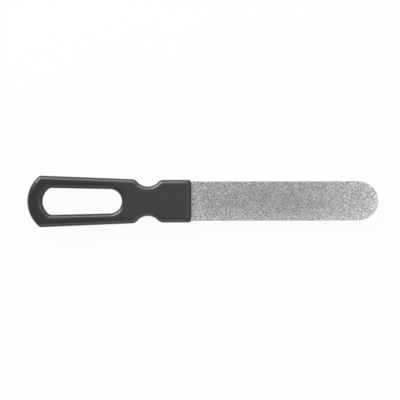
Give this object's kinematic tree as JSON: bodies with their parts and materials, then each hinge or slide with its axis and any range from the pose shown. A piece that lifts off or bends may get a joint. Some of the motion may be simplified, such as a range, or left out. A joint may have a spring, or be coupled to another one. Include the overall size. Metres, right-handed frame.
{
  "type": "nail file",
  "caption": "Flat metal nail file: a steel strip with a round tip and abrasive on both faces, moulded into a black plastic handle with a hanging loop and finger notches.",
  "frame": {"origin": "middle of the overall length and width, on the plane of the handle's back face", "axes": "+X along the file from the hanging loop to the blade's round tip, +Y across the file, +Z out of the front face, the coarse one"},
  "size_m": [0.178, 0.0262, 0.006],
  "materials": {
    "handle_plastic": "black injection-moulded plastic, satin, with a fine moulded grain",
    "blade_steel": "cold-rolled stainless steel strip, satin, with broken edges",
    "coarse_grit": "coarse mineral grit held in bright nickel plating, speckled grey",
    "fine_grit": "fine mineral grit held in bright nickel plating, even grey"
  },
  "bodies": {
    "root": {"loop_handle": "handle_plastic", "file_blade": "blade_steel", "front_grit_coat": "coarse_grit", "back_grit_coat": "fine_grit"}
  },
  "joints": []
}
